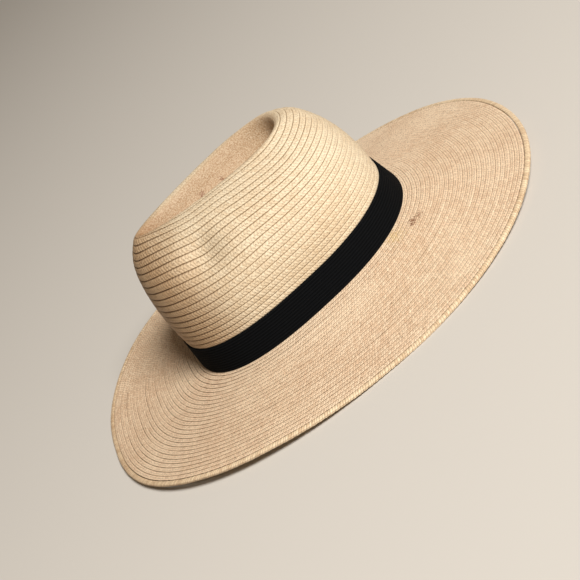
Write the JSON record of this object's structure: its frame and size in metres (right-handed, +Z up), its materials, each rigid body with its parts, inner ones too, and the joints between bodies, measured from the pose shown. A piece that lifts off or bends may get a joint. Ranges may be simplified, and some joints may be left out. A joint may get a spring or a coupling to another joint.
{
  "type": "straw hat",
  "caption": "Wide-brimmed sun hat of sewn straw braid with a dented, pinched crown and a plain black elastic band.",
  "frame": {"origin": "on the surface that the hat rests on, under the middle of the brim", "axes": "+Z up out of the crown; -Y to the front of the hat; +X to the wearer's left"},
  "size_m": [0.3564, 0.3885, 0.1202],
  "materials": {
    "crown": "matt sewn straw braid, cream",
    "brim": "matt fine straw braid, tan",
    "brim_edge": "matt doubled straw braid",
    "band": "matt ribbed black elastic"
  },
  "bodies": {
    "root": {"crown": "crown", "brim": "brim", "brim_edge": "brim_edge", "band": "band"}
  },
  "joints": []
}
